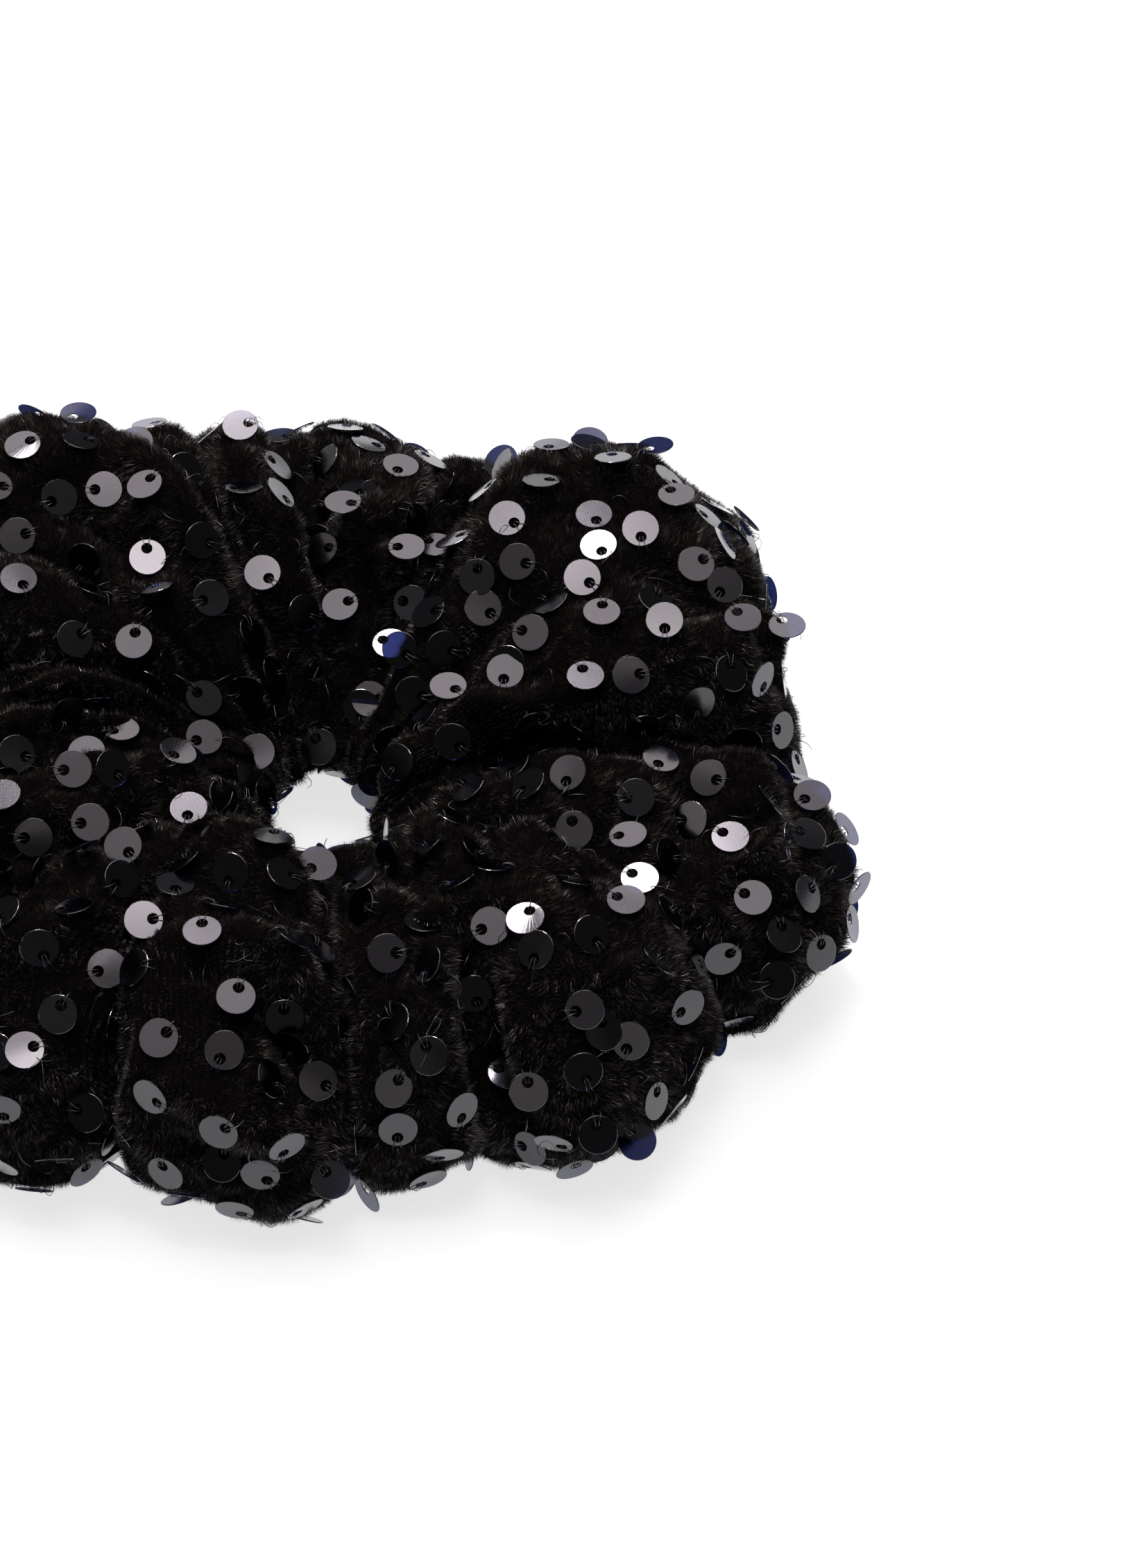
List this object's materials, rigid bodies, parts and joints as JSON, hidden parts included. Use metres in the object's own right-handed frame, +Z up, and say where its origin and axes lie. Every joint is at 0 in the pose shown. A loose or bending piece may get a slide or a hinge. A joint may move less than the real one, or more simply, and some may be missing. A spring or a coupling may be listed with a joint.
{
  "type": "hair scrunchie",
  "caption": "Gathered velvet tube round an elastic loop, pleated towards a small hair opening and covered with loosely sewn round sequins.",
  "frame": {"origin": "middle of the bottom of the bounding box, on the surface that the scrunchie lies on", "axes": "+Z up out of the hair opening; +X is the way the scrunchie is stretched, towards right_half; -Y faces the viewer of the pictured side"},
  "size_m": [0.1372, 0.131, 0.045],
  "materials": {
    "velvet": "black stretch velvet, short glinting pile, near-black with a grey sheen on the crests of folds",
    "velvet_back": "knitted back of the velvet, matt black, seen only inside the tube",
    "elastic": "black braided flat elastic",
    "thread": "black polyester sewing thread",
    "sequin_film": "glossy black film, dark navy where light comes through it"
  },
  "bodies": {
    "left_half": {"casing_left": "velvet", "elastic_band": "elastic", "elastic_overlap_tail": "elastic", "elastic_stitch_back": "thread", "elastic_stitch_front": "thread", "long_seam_left": "velvet_back", "closing_seam": "velvet_back", "sequin_10": "sequin_film", "sequin_11": "sequin_film", "sequin_12": "sequin_film", "sequin_36": "sequin_film", "sequin_37": "sequin_film", "sequin_38": "sequin_film", "sequin_39": "sequin_film", "sequin_40": "sequin_film", "sequin_41": "sequin_film", "sequin_42": "sequin_film", "sequin_44": "sequin_film", "sequin_46": "sequin_film"},
    "right_half": {"casing_right": "velvet", "long_seam_right": "velvet_back", "sequin_09": "sequin_film", "sequin_13": "sequin_film", "sequin_14": "sequin_film", "sequin_15": "sequin_film", "sequin_16": "sequin_film", "sequin_17": "sequin_film", "sequin_18": "sequin_film", "sequin_19": "sequin_film", "sequin_20": "sequin_film", "sequin_21": "sequin_film", "sequin_22": "sequin_film", "sequin_23": "sequin_film", "sequin_24": "sequin_film", "sequin_25": "sequin_film", "sequin_26": "sequin_film", "sequin_27": "sequin_film", "sequin_28": "sequin_film", "sequin_29": "sequin_film", "sequin_30": "sequin_film", "sequin_31": "sequin_film", "sequin_32": "sequin_film", "sequin_33": "sequin_film", "sequin_34": "sequin_film", "sequin_35": "sequin_film", "sequin_43": "sequin_film", "sequin_45": "sequin_film"},
    "sequin_01": {"sequin_01": "sequin_film"},
    "sequin_02": {"sequin_02": "sequin_film"},
    "sequin_03": {"sequin_03": "sequin_film"},
    "sequin_04": {"sequin_04": "sequin_film"},
    "sequin_05": {"sequin_05": "sequin_film"},
    "sequin_06": {"sequin_06": "sequin_film"},
    "sequin_07": {"sequin_07": "sequin_film"},
    "sequin_08": {"sequin_08": "sequin_film"}
  },
  "joints": [
    {"name": "stretch", "type": "slide", "parent": "left_half", "child": "right_half", "axis": [1, 0, 0], "range_m": [0, 0.07], "stiffness_N_per_m": 80, "deforming": ["elastic_band"]},
    {"name": "sequin_01_flip", "type": "hinge", "parent": "right_half", "child": "sequin_01", "pos_m": [0.04656, 0.00297, 0.04041], "axis": [0.9994, -0.0349, 0], "range_deg": [0, 35], "stiffness_Nm_per_rad": 0.00002},
    {"name": "sequin_02_flip", "type": "hinge", "parent": "right_half", "child": "sequin_02", "pos_m": [0.05379, 0.01868, 0.04048], "axis": [-0.5451, 0.7129, 0.4412], "range_deg": [0, 35], "stiffness_Nm_per_rad": 0.00002},
    {"name": "sequin_03_flip", "type": "hinge", "parent": "right_half", "child": "sequin_03", "pos_m": [0.03834, 0.01356, 0.03988], "axis": [0.6428, 0.6425, 0.4172], "range_deg": [0, 35], "stiffness_Nm_per_rad": 0.00002},
    {"name": "sequin_04_flip", "type": "hinge", "parent": "right_half", "child": "sequin_04", "pos_m": [0.05339, -0.0303, 0.02682], "axis": [-0.5, -0.8138, -0.2962], "range_deg": [0, 35], "stiffness_Nm_per_rad": 0.00002},
    {"name": "sequin_05_flip", "type": "hinge", "parent": "left_half", "child": "sequin_05", "pos_m": [-0.03369, -0.0117, 0.03516], "axis": [0.0714, -0.816, -0.5736], "range_deg": [0, 35], "stiffness_Nm_per_rad": 0.00002},
    {"name": "sequin_06_flip", "type": "hinge", "parent": "left_half", "child": "sequin_06", "pos_m": [-0.03157, -0.02032, 0.03391], "axis": [0.0714, -0.816, -0.5736], "range_deg": [0, 35], "stiffness_Nm_per_rad": 0.00002},
    {"name": "sequin_07_flip", "type": "hinge", "parent": "left_half", "child": "sequin_07", "pos_m": [-0.02793, -0.00724, 0.03175], "axis": [0.7395, 0.6433, 0.1983], "range_deg": [0, 35], "stiffness_Nm_per_rad": 0.00002},
    {"name": "sequin_08_flip", "type": "hinge", "parent": "left_half", "child": "sequin_08", "pos_m": [-0.04303, -0.05345, 0.02457], "axis": [0.6867, -0.69, -0.2289], "range_deg": [0, 35], "stiffness_Nm_per_rad": 0.00002}
  ]
}
